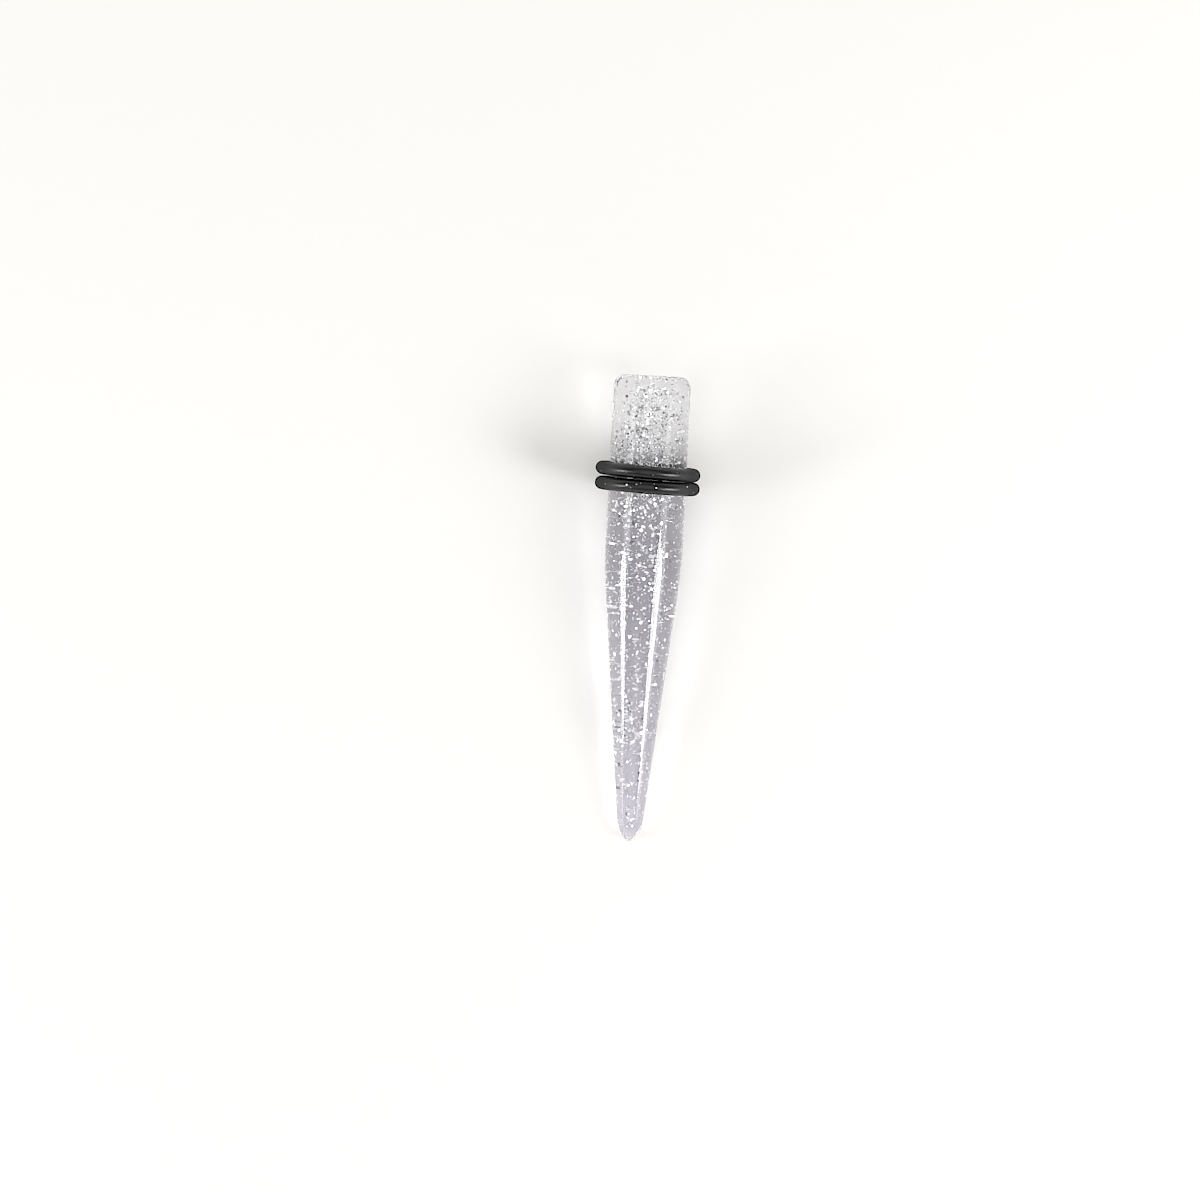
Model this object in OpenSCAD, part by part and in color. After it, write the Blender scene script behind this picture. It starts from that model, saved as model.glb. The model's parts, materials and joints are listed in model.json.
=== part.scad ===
// Ear stretching taper: a clear acrylic spike with two rubber O-rings, lying on a surface.
// It rests on the tip-side ring and on its tip, with the head raised, as it lies by itself.
// Row frame: +Z up, surface at z = 0, head towards +Y, tip towards -Y, centred in X and Y.

/* [Taper] */
// Length from the tip to the flat head end
taper_length = 60; // [55:0.5:70]
// Diameter of the worn stretch, which is the gauge size (00 gauge is 10 mm)
gauge_d = 10; // [9:0.5:12]
// Distance from the head end to where the cylinder and the cone would meet in a corner
cone_start = 24.2; // [22:0.1:26]
// Diameter that the cone would have at the very tip, if the tip weren't rounded
cone_tip_d = 2.8; // [2.4:0.1:3.4]
// Radius of the arc that blends the cylinder into the cone
shoulder_r = 50; // [20:5:60]
// Draft of the head stretch in degrees, narrowing towards the head end
head_draft = 0.35; // [0.1:0.05:0.5]
// Radius of the rounded edge round the head end
head_edge_r = 1.5; // [0.5:0.1:2.5]
// Radius of the arc between the cone and the tip
nose_r = 5; // [4:0.5:8]
// Radius of the tip itself
tip_r = 0.8; // [0.5:0.05:1]

/* [O-rings] */
// Thickness of the rubber
ring_d = 1.7; // [1.5:0.05:2]
// Gap between the worn stretch's radius and a ring's bore
ring_fit = 0.03; // [0.02:0.01:0.1]
// Distance from the head end to the middle of the tip-side ring
tip_ring_place = 14.15; // [12:0.05:14.5]
// Gap between the two rings at their middle
ring_spacing = 0.15; // [0.15:0.05:0.5]
// How far askew the tip-side ring sits, in degrees
tip_ring_skew = 1.5; // [0:0.1:2]
// How much further askew the head-side ring sits, in degrees
extra_skew = 0.8; // [0:0.1:0.9]
// Distance from the tip-side ring to the start of the worn stretch
worn_gap = 0.2; // [0.2:0.1:1]
// How deep the soft tip-side ring is pressed flat where it rests
rest_flat = 0.1; // [0.05:0.01:0.15]

/* [Hidden] */
$fn = 96;
arc_steps = 12;

acrylic = [0.80, 0.80, 0.84, 0.55];
rubber = [0.07, 0.07, 0.08];

// The taper's outline is a half section: x is the radius, y the height above the tip.
body_r = gauge_d / 2;
ring_r = ring_d / 2;
cone_height = taper_length - cone_start;
cone_angle = atan2(body_r - cone_tip_d / 2, cone_height);
along_cone = [sin(cone_angle), cos(cone_angle)];
out_of_cone = [cos(cone_angle), -sin(cone_angle)];

// Tip ball, and the nose arc tangent to it and to the cone
tip_centre = [0, tip_r];
tip_to_cone = cone_tip_d / 2 * cos(cone_angle) + tip_r * sin(cone_angle);
nose_reach = sqrt(pow(nose_r - tip_r, 2) - pow(nose_r - tip_to_cone, 2));
nose_top = tip_centre + tip_to_cone * out_of_cone + nose_reach * along_cone;
nose_centre = nose_top - nose_r * out_of_cone;
nose_turn = atan2(nose_centre.y - tip_centre.y, -nose_centre.x);

// Shoulder arc, tangent to the cone and to the worn stretch
shoulder_reach = shoulder_r * tan(cone_angle / 2);
shoulder_centre = [body_r - shoulder_r, cone_height + shoulder_reach];

// Head stretch with its draft, and the rounded edge tangent to it and to the head end
worn_top = taper_length - tip_ring_place - ring_r - worn_gap;
edge_height = taper_length - head_edge_r;
head_r = body_r - (edge_height - worn_top) * tan(head_draft);
edge_centre = [head_r - head_edge_r / cos(head_draft), edge_height];

// Rings
ring_centre_r = body_r + ring_fit + ring_r;
tip_ring_height = taper_length - tip_ring_place;
head_ring_height = tip_ring_height + ring_d + ring_spacing;

// Resting pose: the tip-side ring and the nose arc both touch the surface.
lean_run = tip_ring_height - nose_centre.y;
lean_rise = ring_centre_r - nose_centre.x;
rest_r = ring_r - rest_flat;
lean = atan2(lean_rise, lean_run) + asin((rest_r - nose_r) / norm([lean_run, lean_rise]));
ring_lowest = tip_ring_height * sin(lean) - ring_centre_r * cos(lean) - rest_r;
tip_end_y = tip_r * cos(lean) - tip_r;
head_end_y = edge_height * cos(lean) + edge_centre.x * sin(lean) + head_edge_r;

// Points of an arc between two angles, counted from +X; skip leaves out the first ones
function arc(centre, r, from, to, skip = 0) = [
    for (i = [skip : arc_steps])
        let (a = from + (to - from) * i / arc_steps)
            centre + r * [cos(a), sin(a)]
];

module taper_outline() {
    polygon(concat(
        [[0, 0]],
        arc(tip_centre, tip_r, -90, -nose_turn, skip = 1),
        arc(nose_centre, nose_r, -nose_turn, -cone_angle, skip = 1),
        arc(shoulder_centre, shoulder_r, -cone_angle, 0),
        [[body_r, worn_top]],
        arc(edge_centre, head_edge_r, head_draft, 90),
        [[0, taper_length]]
    ));
}

// Lays an upright piece down as it rests, head towards +Y
module at_rest() {
    translate([0, -(tip_end_y + head_end_y) / 2, -ring_lowest])
        rotate([lean - 90, 0, 0])
            children();
}

// One upright ring, turned askew about the axis that points at the surface once it lies down
module o_ring(height, skew) {
    translate([0, 0, height])
        rotate([0, skew, 0]) rotate_extrude()
            translate([ring_centre_r, 0]) circle(ring_r);
}

module taper() {
    color(acrylic) at_rest() rotate_extrude() taper_outline();
}

module head_ring() {
    color(rubber) at_rest() o_ring(head_ring_height, tip_ring_skew + extra_skew);
}

module tip_ring() {
    color(rubber) difference() {
        at_rest() o_ring(tip_ring_height, tip_ring_skew);
        translate([-taper_length / 2, -taper_length / 2, -ring_d])
            cube([taper_length, taper_length, ring_d]);
    }
}

taper();
head_ring();
tip_ring();
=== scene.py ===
"""Dresses the ear stretching taper: polished clear acrylic with glitter cast in it, and two rubber
rings, lying on a white surface under soft studio light."""

import json
import logging
import math
from dataclasses import dataclass, field
from enum import Enum

import bpy
import numpy as np
from mathutils import Euler, Matrix, Vector


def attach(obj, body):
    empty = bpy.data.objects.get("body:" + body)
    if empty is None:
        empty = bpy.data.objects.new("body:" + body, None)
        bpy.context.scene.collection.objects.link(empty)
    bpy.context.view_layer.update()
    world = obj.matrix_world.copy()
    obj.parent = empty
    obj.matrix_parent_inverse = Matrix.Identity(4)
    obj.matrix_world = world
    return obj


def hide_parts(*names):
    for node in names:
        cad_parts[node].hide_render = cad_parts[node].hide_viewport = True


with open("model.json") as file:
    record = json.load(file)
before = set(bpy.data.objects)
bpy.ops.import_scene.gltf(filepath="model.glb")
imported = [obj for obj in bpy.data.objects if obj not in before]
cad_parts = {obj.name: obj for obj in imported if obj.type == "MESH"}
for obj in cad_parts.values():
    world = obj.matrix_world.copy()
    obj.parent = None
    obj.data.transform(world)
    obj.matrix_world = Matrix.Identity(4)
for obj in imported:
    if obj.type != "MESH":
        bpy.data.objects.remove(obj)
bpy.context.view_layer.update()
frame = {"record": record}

MM = 0.001
BODY = "root"
Rgb = tuple[float, float, float]
Colour = Rgb | bpy.types.NodeSocket
log = logging.getLogger("taper")


class Slot(Enum):
    """The record's material slots."""

    ACRYLIC = "clear_acrylic"
    RUBBER = "black_rubber"
    GLITTER = "silver_glitter"


class Value:
    """A number that changes over a surface: a socket on which Python's operators add Math nodes."""

    def __init__(self, graph: "Graph", socket: bpy.types.NodeSocket) -> None:
        """Wraps one output socket of a graph."""
        self.graph = graph
        self.socket = socket

    def math(self, operation: str, *terms: "Value | float") -> "Value":
        """Adds one Math node.

        Args:
            operation: The Math node's operation.
            terms: Its inputs, in order, as sockets or numbers.

        Returns:
            The node's result.
        """
        made = self.graph.node("ShaderNodeMath", {"operation": operation}, dict(enumerate(terms)))
        return Value(self.graph, made.outputs[0])

    def __add__(self, other: "Value | float") -> "Value":
        """Sum."""
        return self.math("ADD", self, other)

    def __radd__(self, other: float) -> "Value":
        """Sum with a number on the left."""
        return self.math("ADD", other, self)

    def __sub__(self, other: "Value | float") -> "Value":
        """Difference."""
        return self.math("SUBTRACT", self, other)

    def __rsub__(self, other: float) -> "Value":
        """Difference with a number on the left."""
        return self.math("SUBTRACT", other, self)

    def __mul__(self, other: "Value | float") -> "Value":
        """Product."""
        return self.math("MULTIPLY", self, other)

    def __rmul__(self, other: float) -> "Value":
        """Product with a number on the left."""
        return self.math("MULTIPLY", other, self)

    def __truediv__(self, other: "Value | float") -> "Value":
        """Quotient."""
        return self.math("DIVIDE", self, other)

    def __pow__(self, other: float) -> "Value":
        """Power."""
        return self.math("POWER", self, other)

    def above(self, start: float, full: float) -> "Value":
        """Makes a mask that rises smoothly.

        Args:
            start: Where the mask is still 0.
            full: Where it has reached 1.

        Returns:
            The mask.
        """
        settings = {"interpolation_type": "SMOOTHSTEP"}
        made = self.graph.node("ShaderNodeMapRange", settings, {"Value": self, 1: start, 2: full})
        return Value(self.graph, made.outputs[0])


class Graph:
    """The nodes of one material or world."""

    def __init__(self, owner: bpy.types.Material | bpy.types.World) -> None:
        """Empties the owner's node tree and wraps it.

        Args:
            owner: The material or world.
        """
        owner.use_nodes = True
        self.tree = owner.node_tree
        self.tree.nodes.clear()

    def node(
        self, kind: str, settings: dict | None = None, inputs: dict | None = None
    ) -> bpy.types.Node:
        """Makes one node.

        Args:
            kind: The node's type.
            settings: Its properties, such as a Math node's operation.
            inputs: Values, Value objects or sockets, by the input's name or number.

        Returns:
            The new node.
        """
        made = self.tree.nodes.new(kind)
        for key, value in (settings or {}).items():
            setattr(made, key, value)
        for key, value in (inputs or {}).items():
            if isinstance(value, Value):
                value = value.socket
            if isinstance(value, bpy.types.NodeSocket):
                self.tree.links.new(value, made.inputs[key])
            else:
                made.inputs[key].default_value = value
        return made

    def value(
        self, kind: str, output: str, settings: dict | None = None, inputs: dict | None = None
    ) -> Value:
        """Makes one node and wraps one of its outputs as a number."""
        return Value(self, self.node(kind, settings, inputs).outputs[output])

    def object_point(self, centre: Vector, turn: Euler) -> bpy.types.NodeSocket:
        """Object coordinates, centred on a point and then turned.

        Args:
            centre: The point that becomes the origin.
            turn: Euler angles of the pattern's own axes.

        Returns:
            The turned coordinates.
        """
        seat = self.node("ShaderNodeTexCoord").outputs["Object"]
        settings = {"vector_type": "TEXTURE"}
        inputs = {"Vector": seat, "Location": centre, "Rotation": turn}
        return self.node("ShaderNodeMapping", settings, inputs).outputs[0]

    def noise(self, point: bpy.types.NodeSocket, scale: float, detail: float) -> Value:
        """Smooth noise at a number of waves to the metre."""
        inputs = {"Vector": point, "Scale": scale, "Detail": detail}
        return self.value("ShaderNodeTexNoise", "Fac", None, inputs)

    def bump(self, height: Value, distance: float) -> bpy.types.NodeSocket:
        """A normal from a height map whose full range is a distance in metres."""
        inputs = {"Strength": 1.0, "Distance": distance, "Height": height}
        return self.node("ShaderNodeBump", None, inputs).outputs[0]

    def mix(self, share: Value, low: Colour, high: Colour) -> bpy.types.NodeSocket:
        """Mixes two colours by a mask.

        Args:
            share: The mask, which shows high where it is 1.
            low: A colour, as a tuple of three or a socket.
            high: The other colour.

        Returns:
            The mixed colour.
        """
        low, high = ((*c, 1.0) if isinstance(c, tuple) else c for c in (low, high))
        inputs = {"Factor": share, 6: low, 7: high}
        return self.node("ShaderNodeMix", {"data_type": "RGBA"}, inputs).outputs[2]


@dataclass(frozen=True)
class AcrylicFinish:
    """Polished clear acrylic with a lavender-grey tint and painted shade, clear in the head, darkest
    just below the rings and fainter at the tip.

    The tint, with painted shade, is in the lower half of the wall, so that the top half stays clear
    and what lies deeper is seen through more of it.
    Between the rings the wall is painted near black, as painted shade where the rings shut out the
    light. The shades are the colours that lamplight is given on its way through.
    """

    # The top half's near-clear colour; the lower half carries the tint and the painted shade
    open_top: Rgb = (0.98, 0.98, 0.985)
    # Lower half's colour along the axis: lavender tint with painted shade, clear in the head, darkest
    # just below the rings, fainter towards the tip
    clear: Rgb = (0.70, 0.70, 0.735)
    tinted_and_shaded: Rgb = (0.238, 0.230, 0.270)
    faint: Rgb = (0.71, 0.695, 0.79)
    # Painted shade: the near-black colour of the wall in the gap between the rings
    rubbed: Rgb = (0.01, 0.01, 0.011)
    top_shade: Rgb = (0.95, 0.95, 0.95)
    clear_shade: Rgb = (0.67, 0.67, 0.69)
    tinted_shade: Rgb = (0.546, 0.538, 0.57)
    # Height above and below the axis over which the tint sets in
    depth_blend: float = 1.0 * MM
    # Distances from the head end
    clear_to: float = 3.0 * MM
    tinted_from: float = 16.5 * MM
    fading_from: float = 12.0 * MM
    faint_from: float = 66.0 * MM
    # Where the painted shade between the rings starts, is full, eases off and ends, from the head end
    gap_shade_band: tuple[float, float, float, float] = (12.2 * MM, 12.6 * MM, 13.9 * MM, 14.3 * MM)
    refraction: float = 1.49
    polish: float = 0.008
    hairline_haze: float = 0.006
    # Waves to the metre
    hairline_scale: float = 2600.0
    wave_scale: float = 260.0
    wave_height: float = 0.004 * MM

    def material(self, seat: "Seat") -> bpy.types.Material:
        """Makes the material.

        Args:
            seat: The axis that the tint's depth is measured along.

        Returns:
            The finished material.
        """
        made = bpy.data.materials.new("polished_acrylic")
        graph = Graph(made)
        point = graph.object_point(seat.head, seat.turn())
        split = graph.node("ShaderNodeSeparateXYZ", None, {0: point})
        from_head = Value(graph, split.outputs["Z"]) * -1.0
        # Painted shade along the axis: the colour darkens from the head to just below the rings and
        # lightens towards the tip
        below_rings = from_head.above(self.clear_to, self.tinted_from)
        towards_tip = from_head.above(self.fading_from, self.faint_from)
        tint = graph.mix(towards_tip, self.tinted_and_shaded, self.faint)
        # Tint and painted shade only in the lower half, so the top is lighter
        deep = Value(graph, split.outputs["Y"]).above(-self.depth_blend, self.depth_blend)
        # Painted shade: the wall between the rings is coloured near black
        start, full, easing, end = self.gap_shade_band
        gap_shade = from_head.above(start, full) * (1 - from_head.above(easing, end))
        seen = graph.mix(deep, self.open_top, graph.mix(below_rings, self.clear, tint))
        waves = graph.noise(point, self.wave_scale, 1.0)
        hairlines = graph.noise(point, self.hairline_scale, 3.0).above(0.45, 0.8)
        inputs = {
            "Base Color": graph.mix(gap_shade, seen, self.rubbed),
            "Roughness": hairlines * self.hairline_haze + self.polish,
            "IOR": self.refraction,
            "Transmission Weight": 1.0,
            "Normal": graph.bump(waves, self.wave_height),
        }
        surface = graph.node("ShaderNodeBsdfPrincipled", None, inputs)
        top, pale, dark = (
            graph.node("ShaderNodeBsdfTransparent", None, {"Color": (*shade, 1.0)})
            for shade in (self.top_shade, self.clear_shade, self.tinted_shade)
        )
        shades = {0: below_rings, 1: pale.outputs[0], 2: dark.outputs[0]}
        lower = graph.node("ShaderNodeMixShader", None, shades)
        halves = {0: deep, 1: top.outputs[0], 2: lower.outputs[0]}
        shadow = graph.node("ShaderNodeMixShader", None, halves)
        is_shadow = graph.node("ShaderNodeLightPath").outputs["Is Shadow Ray"]
        parts = {0: is_shadow, 1: surface.outputs[0], 2: shadow.outputs[0]}
        both = graph.node("ShaderNodeMixShader", None, parts)
        graph.node("ShaderNodeOutputMaterial", None, {"Surface": both.outputs[0]})
        return made


@dataclass(frozen=True)
class FlakeFinish:
    """Metallised flakes, each with its own tone and its own gloss; the dull grey tone is painted
    shade for flakes that catch no light.
    """

    # Painted shade: the dull grey stands for flakes out of the light; the bright is the foil's own
    # colour
    dull: Rgb = (0.28, 0.28, 0.29)
    bright: Rgb = (0.97, 0.97, 0.98)
    bright_from: float = 0.24
    # The tone times this, less its whole part, is the flake's gloss
    gloss_spread: float = 7.31
    roughest: float = 0.48
    gloss_range: float = 0.22

    def material(self, tone_name: str) -> bpy.types.Material:
        """Makes the material.

        Args:
            tone_name: The mesh attribute that holds each flake's tone, from 0 to 1.

        Returns:
            The finished material.
        """
        made = bpy.data.materials.new("glitter_foil")
        graph = Graph(made)
        tone = graph.value("ShaderNodeAttribute", "Fac", {"attribute_name": tone_name})
        gloss = (tone * self.gloss_spread).math("FRACT")
        # Dull tones are painted shade, bright ones the foil's own colour
        inputs = {
            "Base Color": graph.mix(tone.above(0.0, self.bright_from), self.dull, self.bright),
            "Metallic": 1.0,
            "Roughness": self.roughest - gloss * self.gloss_range,
        }
        surface = graph.node("ShaderNodeBsdfPrincipled", None, inputs)
        graph.node("ShaderNodeOutputMaterial", None, {"Surface": surface.outputs[0]})
        return made


@dataclass(frozen=True)
class RubberFinish:
    """Satin moulded black rubber with drawn streaks and specks of dust, rubbed dull at its sides."""

    black: Rgb = (0.004, 0.004, 0.0045)
    worn: Rgb = (0.014, 0.014, 0.0145)
    dust: Rgb = (0.30, 0.30, 0.29)
    # Roughness of plain rubber, and what patches, grain and the dull sides add to it
    satin: float = 0.12
    patch_haze: float = 0.12
    grain_haze: float = 0.04
    side_haze: float = 0.66
    # Sideways from the ring's middle
    dull_from: float = 3.4 * MM
    dull_to: float = 6.4 * MM
    # Waves to the metre
    streak_scale: float = 2400.0
    grain_scale: float = 9000.0
    patch_scale: float = 420.0
    speck_scale: float = 1500.0
    # Radius of the circle on which the streaks' noise is read, so that they run round the ring
    streak_circle: float = 4.0 * MM
    relief: float = 0.012 * MM

    def material(self, name: str, centre: Vector, turn: Euler) -> bpy.types.Material:
        """Makes the material of one ring.

        Args:
            name: The material's name.
            centre: The ring's centre.
            turn: The ring's own turn, so that the streaks run round it.

        Returns:
            The finished material.
        """
        made = bpy.data.materials.new(name)
        graph = Graph(made)
        point = graph.object_point(centre, turn)
        split = graph.node("ShaderNodeSeparateXYZ", None, {0: point})
        x, y, z = (Value(graph, split.outputs[i]) for i in range(3))
        reach = (x * x + y * y) ** 0.5
        across = {0: x / reach * self.streak_circle, 1: y / reach * self.streak_circle, 2: z}
        drawn = graph.node("ShaderNodeCombineXYZ", None, across).outputs[0]
        scale = self.streak_scale
        inputs = {"Vector": drawn, "W": reach * scale, "Scale": scale, "Detail": 2.0}
        streaks = graph.value("ShaderNodeTexNoise", "Fac", {"noise_dimensions": "4D"}, inputs)
        spot = graph.node("ShaderNodeTexCoord").outputs["Object"]
        grain = graph.noise(spot, self.grain_scale, 2.0)
        patches = graph.noise(spot, self.patch_scale, 2.0)
        inputs = {"Vector": spot, "Scale": self.speck_scale}
        cells = graph.value("ShaderNodeTexVoronoi", "Distance", None, inputs)
        specks = (1 - cells.above(0.08, 0.16)) * patches.above(0.48, 0.58)
        wear = streaks.above(0.55, 0.8) * 0.6 + patches.above(0.45, 0.75) * 0.4
        rubbed = graph.mix(wear, self.black, self.worn)
        height = grain * 0.35 + streaks * 0.65
        sides = ((x * x) ** 0.5).above(self.dull_from, self.dull_to)
        haze = patches * self.patch_haze + grain * self.grain_haze + sides * self.side_haze
        inputs = {
            "Base Color": graph.mix(specks, rubbed, self.dust),
            "Roughness": self.satin + haze,
            "Specular IOR Level": 0.5,
            "Normal": graph.bump(height, self.relief),
        }
        surface = graph.node("ShaderNodeBsdfPrincipled", None, inputs)
        graph.node("ShaderNodeOutputMaterial", None, {"Surface": surface.outputs[0]})
        return made


@dataclass(frozen=True)
class SurfaceFinish:
    """The plain pale surface that the piece lies on."""

    white: Rgb = (0.85, 0.836, 0.808)

    def material(self) -> bpy.types.Material:
        """Makes the material.

        Returns:
            The finished material.
        """
        made = bpy.data.materials.new("pale_surface")
        graph = Graph(made)
        inputs = {"Base Color": (*self.white, 1.0), "Roughness": 0.9, "Specular IOR Level": 0.1}
        surface = graph.node("ShaderNodeBsdfPrincipled", None, inputs)
        graph.node("ShaderNodeOutputMaterial", None, {"Surface": surface.outputs[0]})
        return made


@dataclass(frozen=True)
class Seat:
    """The taper's axis in the row frame: the middle of its head end, and the way that end faces."""

    head: Vector
    outward: Vector

    @classmethod
    def from_record(cls, record: dict) -> "Seat":
        """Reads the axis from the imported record's head mount."""
        mount = next(m for m in record["mounts"] if m["name"] == "head_end")
        return cls(Vector(mount["pos_m"]), Vector(mount["axis"]).normalized())

    def turn(self, skew: float = 0.0) -> Euler:
        """Works out how an upright piece is laid along the axis.

        Args:
            skew: How far the piece is turned sideways off the axis first.

        Returns:
            Euler angles.
        """
        lean = math.atan2(self.outward.z, self.outward.y)
        laid = Matrix.Rotation(lean - math.pi / 2, 3, "X")
        return (laid @ Matrix.Rotation(skew, 3, "Y")).to_euler()

    def at(self, from_head: float) -> Vector:
        """The point on the axis at a distance from the head end."""
        return self.head - self.outward * from_head

    def lay(self, piece: bpy.types.Object, from_head: float, skew: float = 0.0) -> None:
        """Lays an upright piece on the axis and leaves its place in its mesh.

        Args:
            piece: The piece, with its own origin at the point that goes on the axis.
            from_head: That point's distance from the head end.
            skew: How far the piece is turned sideways off the axis.
        """
        piece.location = self.at(from_head)
        piece.rotation_euler = self.turn(skew)
        only(piece)
        bpy.ops.object.transform_apply(location=True, rotation=True, scale=True)


def only(piece: bpy.types.Object | None) -> None:
    """Selects one object alone and makes it active, or deselects all.

    Args:
        piece: The object, or None to deselect all.
    """
    for each in bpy.context.selected_objects:
        each.select_set(False)
    if piece is not None:
        piece.select_set(True)
        bpy.context.view_layer.objects.active = piece


def settle(
    piece: bpy.types.Object, finish: bpy.types.Material, replaced: str | None = None
) -> None:
    """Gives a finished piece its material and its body.

    Args:
        piece: The finished piece.
        finish: The material.
        replaced: The CAD node that the piece stands for, if it stands for one.
    """
    piece.data.materials.clear()
    piece.data.materials.append(finish)
    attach(piece, BODY)
    if replaced is not None:
        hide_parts(replaced)


@dataclass
class Taper:
    """The acrylic spike, turned upright with its tip at the origin and then laid down."""

    length: float = 60.0 * MM
    body_radius: float = 5.0 * MM
    # From the head end to where cylinder and cone would meet in a corner
    cone_start: float = 24.2 * MM
    cone_tip_radius: float = 1.4 * MM
    shoulder_radius: float = 50.0 * MM
    # Height above the tip at which the worn stretch ends and the head's draft begins
    worn_top: float = 44.8 * MM
    head_draft: float = math.radians(0.35)
    head_edge: float = 1.5 * MM
    nose_radius: float = 5.0 * MM
    tip_radius: float = 0.8 * MM
    segments: int = 192
    arc_steps: int = 12
    # Rings of edges in the head's flat face, each as a share of the radius before it
    head_face_steps: tuple[float, float] = (0.93, 0.3)
    stations: list[tuple[float, float]] = field(default_factory=list)

    def _arc(self, x: float, y: float, radius: float, start: float, end: float) -> None:
        """Adds the stations of an arc, all but the one at its start.

        Args:
            x: The centre's radius.
            y: The centre's height.
            radius: The arc's own radius.
            start: The angle that it starts at, counted from +X.
            end: The angle that it ends at.
        """
        for i in range(1, self.arc_steps + 1):
            angle = start + (end - start) * i / self.arc_steps
            self.stations.append((x + radius * math.cos(angle), y + radius * math.sin(angle)))

    def work_out(self) -> None:
        """Works out the outline's stations, each a radius and a height above the tip."""
        cone_height = self.length - self.cone_start
        slope = math.atan2(self.body_radius - self.cone_tip_radius, cone_height)
        reach = self.cone_tip_radius * math.cos(slope) + self.tip_radius * math.sin(slope)
        nose, tip = self.nose_radius, self.tip_radius
        run = math.sqrt((nose - tip) ** 2 - (nose - reach) ** 2)
        nose_x = (reach - nose) * math.cos(slope) + run * math.sin(slope)
        nose_y = tip - (reach - nose) * math.sin(slope) + run * math.cos(slope)
        nose_turn = math.atan2(nose_y - tip, -nose_x)
        shoulder_y = cone_height + self.shoulder_radius * math.tan(slope / 2)
        edge_y = self.length - self.head_edge
        head_radius = self.body_radius - (edge_y - self.worn_top) * math.tan(self.head_draft)
        edge_x = head_radius - self.head_edge / math.cos(self.head_draft)
        self.stations.clear()
        self._arc(0.0, tip, tip, -math.pi / 2, -nose_turn)
        self._arc(nose_x, nose_y, nose, -nose_turn, -slope)
        shoulder_x = self.body_radius - self.shoulder_radius
        self._arc(shoulder_x, shoulder_y, self.shoulder_radius, -slope, 0.0)
        self.stations.append((self.body_radius, self.worn_top))
        self._arc(edge_x, edge_y, self.head_edge, self.head_draft, math.pi / 2)

    def radius_at(self, height: np.ndarray) -> np.ndarray:
        """The outline's radius at heights above the tip."""
        radii, heights = np.array(self.stations).T
        return np.interp(height, np.append(0.0, heights), np.append(0.0, radii))

    def build(self) -> bpy.types.Object:
        """Turns the upright spike by extruding a ring of edges from station to station.

        Returns:
            The spike, tip at the origin.
        """
        only(None)
        self.work_out()
        radius, height = self.stations[0]
        bpy.ops.mesh.primitive_circle_add(vertices=self.segments, radius=radius, fill_type="TRIFAN")
        piece = bpy.context.object
        bpy.ops.object.mode_set(mode="EDIT")
        bpy.ops.mesh.select_all(action="DESELECT")
        bpy.ops.mesh.select_mode(type="VERT")
        bpy.ops.mesh.select_non_manifold(
            extend=False, use_wire=False, use_multi_face=False,
            use_non_contiguous=False, use_verts=False,
        )
        bpy.ops.transform.translate(value=(0.0, 0.0, height))
        for next_radius, next_height in self.stations[1:]:
            self._extrude(radius, height, next_radius, next_height)
            radius, height = next_radius, next_height
        for share in self.head_face_steps:
            self._extrude(radius, height, radius * share, height)
            radius *= share
        bpy.ops.mesh.edge_face_add()
        bpy.ops.mesh.poke()
        bpy.ops.mesh.select_all(action="SELECT")
        bpy.ops.mesh.normals_make_consistent(inside=False)
        bpy.ops.object.mode_set(mode="OBJECT")
        bpy.ops.object.shade_smooth()
        piece.name = piece.data.name = "clear_taper"
        return piece

    def _extrude(self, radius: float, height: float, next_radius: float, next_height: float) -> None:
        """Extrudes the selected ring of edges to the next station.

        Args:
            radius: The radius of the selected ring.
            height: Its height above the tip.
            next_radius: The next station's radius.
            next_height: The next station's height.
        """
        step = (0.0, 0.0, next_height - height)
        bpy.ops.mesh.extrude_region_move(TRANSFORM_OT_translate={"value": step})
        scale = next_radius / radius
        bpy.ops.transform.resize(value=(scale, scale, 1.0), center_override=(0.0, 0.0, next_height))


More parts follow.
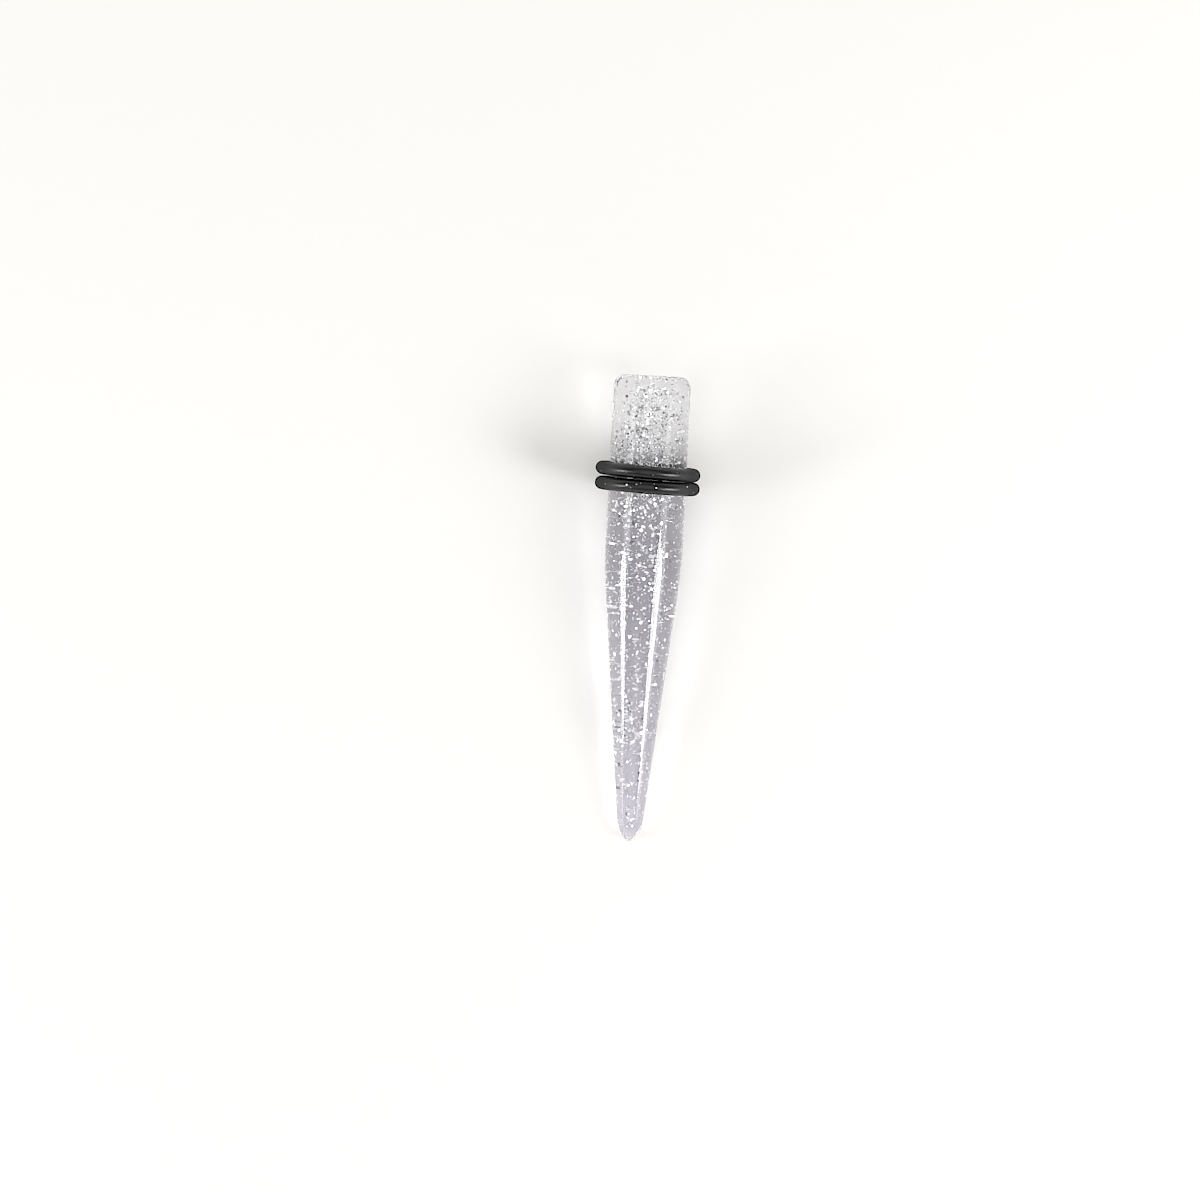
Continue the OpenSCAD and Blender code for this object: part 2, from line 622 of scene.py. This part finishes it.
@dataclass
class Ring:
    """One rubber ring: a round section with a faint parting line, pressed flat where it rests."""

    name: str
    node: str
    from_head: float
    skew: float
    body_radius: float = 5.0 * MM
    fit: float = 0.03 * MM
    thickness: float = 1.7 * MM
    parting_line: float = 0.012 * MM
    rests: bool = False
    around: int = 160
    section: int = 40
    # Edges turned by more than this stay sharp
    sharp_from: float = math.radians(20.0)
    # Points closer than this to a place are at it
    tolerance: float = 0.001 * MM

    @property
    def centre_radius(self) -> float:
        """Radius of the circle through the middle of the rubber."""
        return self.body_radius + self.fit + self.thickness / 2

    def build(self, seat: Seat) -> bpy.types.Object:
        """Models the ring and lays it on the axis.

        Args:
            seat: The axis that the ring sits on.

        Returns:
            The ring, with its place in its mesh.
        """
        only(None)
        radius = self.thickness / 2
        bpy.ops.mesh.primitive_torus_add(
            major_segments=self.around, minor_segments=self.section,
            major_radius=self.centre_radius, minor_radius=radius,
        )
        piece = bpy.context.object
        outer = self.centre_radius + radius
        for vertex in piece.data.vertices:
            reach = math.hypot(vertex.co.x, vertex.co.y)
            vertex.select = abs(reach - outer) < self.tolerance
        bpy.ops.object.mode_set(mode="EDIT")
        bpy.ops.mesh.select_mode(type="VERT")
        scale = 1 + self.parting_line / outer
        bpy.ops.transform.resize(value=(scale, scale, 1.0), center_override=(0.0, 0.0, 0.0))
        bpy.ops.object.mode_set(mode="OBJECT")
        bpy.ops.object.shade_smooth()
        seat.lay(piece, self.from_head, self.skew)
        if self.rests:
            bpy.ops.object.mode_set(mode="EDIT")
            bpy.ops.mesh.select_all(action="SELECT")
            bpy.ops.mesh.bisect(
                plane_co=(0.0, 0.0, 0.0), plane_no=(0.0, 0.0, 1.0),
                clear_inner=True, use_fill=True, threshold=1e-7,
            )
            bpy.ops.object.mode_set(mode="OBJECT")
            bpy.ops.object.shade_smooth_by_angle(angle=self.sharp_from)
        piece.name = piece.data.name = self.name
        return piece


@dataclass
class Glitter:
    """Foil flakes: one dished hexagon, modelled once and copied into one joined mesh.

    They are densest in the head, where they gather round the axis and are smaller, fewest just
    below the rings, and a little denser again towards the tip.
    """

    count: int = 4600
    seed: int = 7
    # Least and greatest width, and the beta curve between them, which the core makes steeper
    widths: tuple[float, float] = (0.10 * MM, 0.50 * MM)
    width_bias: tuple[float, float] = (1.1, 3.2)
    core_width_bias: float = 1.8
    # A flake's long way as a share of its width
    stretch: float = 1.45
    thickness: float = 0.03 * MM
    # The flake that the others are copied from is a unit wide
    blank_thickness: float = 0.1
    blank_dish: float = 0.03
    # Clear acrylic that is left round the flakes, at the tip and at the head end
    skin: float = 0.06 * MM
    bare_tip: float = 1.3 * MM
    bare_head: float = 1.6 * MM
    # Heights above the tip at which the core begins and is full, and how hard it draws flakes in
    core_from: float = 44.0 * MM
    core_at: float = 54.0 * MM
    core_pull: float = 1.3
    # How likely a drawn flake is kept at these heights above the tip, in millimetres
    heights: tuple[float, ...] = (0.0, 2.0, 12.0, 20.0, 30.0, 40.0, 46.0, 50.0, 55.0, 60.0)
    chances: tuple[float, ...] = (0.16, 0.19, 0.15, 0.11, 0.08, 0.075, 0.15, 0.39, 0.74, 1.0)
    clump_share: float = 0.35
    clump_spread: float = 1.3 * MM
    clumps: int = 46
    lying_share: float = 0.4
    lying_jitter: float = 0.55
    tone_name: str = "flake_tone"
    # Height of a stray flake's middle over the rubber, in thicknesses
    stray_lift: float = 0.6
    # Each stray's way aside in millimetres, angle over the ring in radians, width in millimetres
    strays: tuple[tuple[float, float, float], ...] = (
        (-2.30, 0.16, 0.24),
        (-1.26, 0.34, 0.17),
        (0.95, 0.02, 0.18),
        (4.45, 0.45, 0.16),
    )

    def flake(self) -> tuple[np.ndarray, list[tuple[int, ...]]]:
        """Models one flake, a unit wide.

        Returns:
            Its points and its faces.
        """
        only(None)
        bpy.ops.mesh.primitive_circle_add(vertices=6, radius=0.5, fill_type="NGON")
        piece = bpy.context.object
        bpy.ops.object.mode_set(mode="EDIT")
        bpy.ops.mesh.select_all(action="SELECT")
        step = (0.0, 0.0, self.blank_thickness)
        bpy.ops.mesh.extrude_region_move(TRANSFORM_OT_translate={"value": step})
        bpy.ops.mesh.poke(offset=self.blank_dish)
        bpy.ops.mesh.select_all(action="SELECT")
        bpy.ops.mesh.normals_make_consistent(inside=False)
        bpy.ops.object.mode_set(mode="OBJECT")
        points = np.array([v.co for v in piece.data.vertices])
        faces = [tuple(f.vertices) for f in piece.data.polygons]
        bpy.data.objects.remove(piece)
        return points, faces

    def places(self, taper: Taper, rng: np.random.Generator) -> np.ndarray:
        """Draws the flakes' centres inside the upright spike, some of them in clumps.

        Args:
            taper: The spike that holds them.
            rng: The seeded generator.

        Returns:
            One row of x, y and z for each flake.
        """
        widest = taper.body_radius
        heights = np.array(self.heights) * MM
        low = (-widest, -widest, self.bare_tip)
        high = (widest, widest, taper.length - self.bare_head)
        middles = rng.uniform(low, high, (self.clumps, 3))
        kept = np.empty((0, 3))
        while len(kept) < self.count:
            loose = rng.uniform(low, high, (self.count, 3))
            near = middles[rng.integers(0, self.clumps, self.count)]
            clumped = near + rng.normal(0.0, self.clump_spread, (self.count, 3))
            drawn = np.where(rng.random((self.count, 1)) < self.clump_share, clumped, loose)
            reach = np.hypot(drawn[:, 0], drawn[:, 1])
            room = taper.radius_at(drawn[:, 2]) - self.skin - self.widths[0] / 2
            inside = (reach < room) & (drawn[:, 2] > self.bare_tip) & (drawn[:, 2] < high[2])
            pull = self.in_core(drawn[:, 2]) * self.core_pull
            chance = np.interp(drawn[:, 2], heights, self.chances) * (1 - pull * reach / widest)
            wanted = rng.random(self.count) < chance
            kept = np.vstack([kept, drawn[inside & wanted]])
        return kept[: self.count]

    def in_core(self, height: np.ndarray) -> np.ndarray:
        """How strongly the flakes gather round the axis at heights above the tip, from 0 to 1."""
        return np.interp(height, [self.core_from, self.core_at], [0.0, 1.0])

    def turns(self, centres: np.ndarray, rng: np.random.Generator) -> np.ndarray:
        """Draws a rotation for each flake, whose long way then lies along the spike.

        Some flakes lie along the spike's wall. The others face any way.

        Args:
            centres: The flakes' centres in the upright spike.
            rng: The seeded generator.

        Returns:
            One rotation matrix for each flake.
        """
        loose = rng.normal(size=centres.shape)
        outward = centres * (1.0, 1.0, 0.0)
        outward /= np.linalg.norm(outward, axis=1, keepdims=True)
        lying = rng.random((len(centres), 1)) < self.lying_share
        facing = np.where(lying, outward + loose * self.lying_jitter, loose)
        facing /= np.linalg.norm(facing, axis=1, keepdims=True)
        along = np.cross(facing, np.cross((0.0, 0.0, 1.0), facing))
        along /= np.linalg.norm(along, axis=1, keepdims=True)
        return np.stack([along, np.cross(facing, along), facing], axis=2)

    def join(
        self, name: str, centres: np.ndarray, turns: np.ndarray, widths: np.ndarray, tones: np.ndarray
    ) -> bpy.types.Object:
        """Copies the flake to every place in one mesh.

        Args:
            name: The piece's name.
            centres: The flakes' centres.
            turns: Their rotation matrices.
            widths: Their widths.
            tones: Their tones, from 0 to 1.

        Returns:
            The joined piece.
        """
        points, faces = self.flake()
        shape = points - (0.0, 0.0, self.blank_thickness / 2)
        thick = np.full(len(widths), self.thickness / self.blank_thickness)
        size = np.column_stack([widths * self.stretch, widths, thick])
        copies = np.einsum("nij,npj->npi", turns, shape[None] * size[:, None]) + centres[:, None]
        indices = [tuple(i + k * len(points) for i in f) for k in range(len(centres)) for f in faces]
        mesh = bpy.data.meshes.new(name)
        mesh.from_pydata(copies.reshape(-1, 3).tolist(), [], indices)
        toned = mesh.attributes.new(self.tone_name, "FLOAT", "POINT")
        toned.data.foreach_set("value", np.repeat(tones, len(points)))
        mesh.update()
        piece = bpy.data.objects.new(name, mesh)
        bpy.context.scene.collection.objects.link(piece)
        return piece

    def cast(self, taper: Taper, seat: Seat) -> bpy.types.Object:
        """Casts the flakes into the spike.

        Args:
            taper: The spike that holds them.
            seat: The axis that the spike lies on.

        Returns:
            All flakes as one piece.
        """
        rng = np.random.default_rng(self.seed)
        centres = self.places(taper, rng)
        room = taper.radius_at(centres[:, 2]) - self.skin - np.hypot(centres[:, 0], centres[:, 1])
        core = self.in_core(centres[:, 2])
        wide, narrow = self.width_bias
        spread = rng.beta(wide, narrow + self.core_width_bias * core)
        drawn = self.widths[0] + (self.widths[1] - self.widths[0]) * spread
        # Even the long way of a flake stays inside the skin
        widths = np.minimum(drawn, room * 2 / self.stretch)
        # Painted shade: in the head's core the tones lean towards the dull grey, as for flakes shaded
        # by those round them
        tones = rng.random(len(centres)) ** (1 + core)
        piece = self.join("cast_glitter", centres, self.turns(centres, rng), widths, tones)
        seat.lay(piece, taper.length)
        return piece

    def strew(self, ring: Ring, seat: Seat) -> bpy.types.Object:
        """Lays the few stray flakes that cling to the top of a ring.

        Args:
            ring: The ring that they lie on.
            seat: The axis that the ring sits on.

        Returns:
            The stray flakes as one piece.
        """
        aside, over, widths = np.array(self.strays).T
        around = np.arcsin(aside * MM / ring.centre_radius)
        level = np.cos(over)
        facing = np.column_stack([level * np.sin(around), -level * np.cos(around), np.sin(over)])
        along = np.column_stack([np.cos(around), np.sin(around), np.zeros(len(over))])
        middles = ring.centre_radius * np.column_stack([np.sin(around), -np.cos(around), 0 * over])
        centres = middles + facing * (ring.thickness / 2 + self.thickness * self.stray_lift)
        turns = np.stack([along, np.cross(facing, along), facing], axis=2)
        piece = self.join("stray_glitter", centres, turns, widths * MM, np.ones(len(over)))
        seat.lay(piece, ring.from_head, ring.skew)
        return piece


@dataclass
class PhotoCamera:
    """The camera at the photograph's angle and framing.

    It looks straight down, but for a lean towards the tip's side, and is turned in its own plane.
    """

    frame_px: int = 1200
    # Width of what fills the frame at the taper's middle
    seen_width: float = 154.2 * MM
    distance: float = 0.475
    lean: float = math.radians(3.0)
    turn: float = math.radians(2.92)
    middle_px: tuple[float, float] = (640.9, 609.0)
    sensor: float = 36.0
    nearest: float = 0.01

    def build(self, middle: Vector) -> None:
        """Makes the camera.

        Args:
            middle: The middle of the taper's axis, which falls on middle_px.
        """
        right = Vector((math.cos(self.turn), math.sin(self.turn), 0.0))
        up = Vector((-math.sin(self.turn), math.cos(self.turn), 0.0))
        back = Vector((0.0, 0.0, math.cos(self.lean))) - up * math.sin(self.lean)
        pixel = self.seen_width / self.frame_px
        off_x = (self.middle_px[0] - self.frame_px / 2) * pixel
        off_y = (self.frame_px / 2 - self.middle_px[1]) * pixel
        aim = middle - right * off_x - up * off_y
        bpy.ops.object.camera_add()
        camera = bpy.context.object
        camera.name = "photo_camera"
        camera.data.sensor_width = self.sensor
        camera.data.lens = self.sensor * self.distance / self.seen_width
        camera.data.clip_start = self.nearest
        axes = Matrix((right, back.cross(right), back)).transposed()
        camera.matrix_world = Matrix.Translation(aim + back * self.distance) @ axes.to_4x4()
        bpy.context.scene.camera = camera


@dataclass(frozen=True)
class SoftLight:
    """An oval soft light that hangs in one direction from the piece and is aimed at it."""

    name: str
    towards: tuple[float, float, float]
    distance: float
    size: tuple[float, float]
    power: float

    def build(self, aim: Vector) -> None:
        """Hangs the light at its distance from the piece.

        Args:
            aim: The point that it aims at.
        """
        back = Vector(self.towards).normalized()
        bpy.ops.object.light_add(type="AREA", location=aim + back * self.distance)
        lamp = bpy.context.object
        lamp.name = self.name
        lamp.rotation_mode = "QUATERNION"
        lamp.rotation_quaternion = back.to_track_quat("Z", "Y")
        lamp.data.shape = "ELLIPSE"
        lamp.data.size, lamp.data.size_y = self.size
        lamp.data.energy = self.power
        lamp.visible_camera = False


@dataclass(frozen=True)
class Glow:
    """A soft round patch of light on the surroundings, in one direction from the piece."""

    towards: tuple[float, float, float]
    brightness: float
    # Angles off its middle at which it is gone and at which it is full
    edge: float
    core: float

    def light(self, graph: Graph, way: bpy.types.NodeSocket) -> Value:
        """Works out the patch's light.

        Args:
            graph: The nodes of the surroundings.
            way: The direction that they are seen in.

        Returns:
            The light in that direction.
        """
        towards = {0: way, 1: Vector(self.towards).normalized()}
        near = graph.value("ShaderNodeVectorMath", "Value", {"operation": "DOT_PRODUCT"}, towards)
        return near.above(math.cos(self.edge), math.cos(self.core)) * self.brightness


@dataclass
class Studio:
    """The pale surface, the white surroundings and the soft lights."""

    surface_side: float = 0.8
    horizon: float = 1.0
    wall: float = 0.10
    # Sines of the heights between which the horizon's white gives way to the dim wall
    wall_from: float = 0.27
    wall_to: float = 0.55
    lights: tuple[SoftLight, ...] = (
        SoftLight("left_softbox", (-0.87, -0.235, 0.43), 0.5, (0.126, 0.17), 0.68),
        SoftLight("left_strip", (-0.907, -0.335, 0.253), 0.5, (0.24, 0.04), 0.135),
        SoftLight("right_softbox", (0.73, -0.264, 0.63), 0.5, (0.167, 0.21), 1.10),
    )
    glows: tuple[Glow, ...] = (
        Glow((0.0, -0.08, 1.0), 1.02, math.radians(42.0), math.radians(12.0)),
        Glow((0.0, 0.85, 0.53), 0.2, math.radians(50.0), math.radians(25.0)),
        Glow((0.0, -0.87, 0.50), 0.2, math.radians(45.0), math.radians(25.0)),
        Glow((-0.81, -0.10, 0.57), 4.8, math.radians(15.0), math.radians(2.0)),
        Glow((0.83, -0.10, 0.55), 3.9, math.radians(15.0), math.radians(2.0)),
        Glow((0.84, -0.29, 0.46), 3.9, math.radians(14.0), math.radians(2.0)),
    )

    def build(self, aim: Vector) -> None:
        """Makes the surface, the world and the lights.

        Args:
            aim: The point that the lights are aimed at.
        """
        only(None)
        bpy.ops.mesh.primitive_plane_add(size=self.surface_side)
        floor = bpy.context.object
        floor.name = "surface"
        floor.data.materials.append(SurfaceFinish().material())
        for light in self.lights:
            light.build(aim)
        self._surroundings()

    def _surroundings(self) -> None:
        """Makes the surroundings: a white horizon, a dim wall above it and the glows."""
        world = bpy.data.worlds.new("white_surroundings")
        bpy.context.scene.world = world
        graph = Graph(world)
        way = graph.node("ShaderNodeTexCoord").outputs["Generated"]
        height = graph.value("ShaderNodeSeparateXYZ", "Z", None, {0: way})
        dim = height.above(self.wall_from, self.wall_to)
        light = dim * (self.wall - self.horizon) + self.horizon
        for glow in self.glows:
            light = light + glow.light(graph, way)
        inputs = {"Color": (1.0, 1.0, 1.0, 1.0), "Strength": light}
        shown = graph.node("ShaderNodeBackground", None, inputs)
        graph.node("ShaderNodeOutputWorld", None, {"Surface": shown.outputs[0]})


def set_up_render() -> None:
    """Sets the look of the colours and how far light is followed through the clear piece."""
    scene = bpy.context.scene
    scene.view_settings.view_transform = "Standard"
    scene.cycles.max_bounces = 24
    scene.cycles.glossy_bounces = 16
    scene.cycles.transmission_bounces = 20
    scene.cycles.transparent_max_bounces = 12
    scene.cycles.sample_clamp_indirect = 6.0
    scene.cycles.use_denoising = True


def set_up_compositor() -> None:
    """Sharpens the picture a little, held at white first so that no highlight gets a dark rim."""
    scene = bpy.context.scene
    scene.use_nodes = True
    tree = scene.node_tree
    tree.nodes.clear()
    layers = tree.nodes.new("CompositorNodeRLayers")
    held = tree.nodes.new("CompositorNodeMixRGB")
    held.blend_type = "DARKEN"
    held.inputs[2].default_value = (1.0, 1.0, 1.0, 1.0)
    crisp = tree.nodes.new("CompositorNodeFilter")
    crisp.filter_type = "SHARPEN"
    crisp.inputs["Fac"].default_value = 0.07
    shown = tree.nodes.new("CompositorNodeComposite")
    tree.links.new(layers.outputs["Image"], held.inputs[1])
    tree.links.new(held.outputs["Image"], crisp.inputs["Image"])
    tree.links.new(crisp.outputs["Image"], shown.inputs["Image"])


def main() -> None:
    """Builds the pieces in order, then the studio and the camera."""
    logging.basicConfig(level=logging.INFO, format="%(message)s")
    seat = Seat.from_record(frame["record"])
    taper = Taper()
    spike = taper.build()
    seat.lay(spike, taper.length)
    settle(spike, AcrylicFinish().material(seat), "taper")
    log.info("%s: %d faces", spike.name, len(spike.data.polygons))
    rings = (
        Ring("head_o_ring", "head_ring", from_head=12.3 * MM, skew=math.radians(2.3)),
        Ring("tip_o_ring", "tip_ring", from_head=14.15 * MM, skew=math.radians(1.5), rests=True),
    )
    for ring in rings:
        piece = ring.build(seat)
        name = f"{ring.name}_rubber"
        finish = RubberFinish().material(name, seat.at(ring.from_head), seat.turn(ring.skew))
        settle(piece, finish, ring.node)
        log.info("%s: %d faces", piece.name, len(piece.data.polygons))
    glitter = Glitter()
    foil = FlakeFinish().material(glitter.tone_name)
    for flakes in (glitter.cast(taper, seat), glitter.strew(rings[-1], seat)):
        settle(flakes, foil)
        log.info("%s: %d faces", flakes.name, len(flakes.data.polygons))
    middle = seat.at(taper.length / 2)
    Studio().build(middle)
    PhotoCamera().build(middle)
    set_up_render()
    set_up_compositor()


if __name__ == "__main__":
    main()
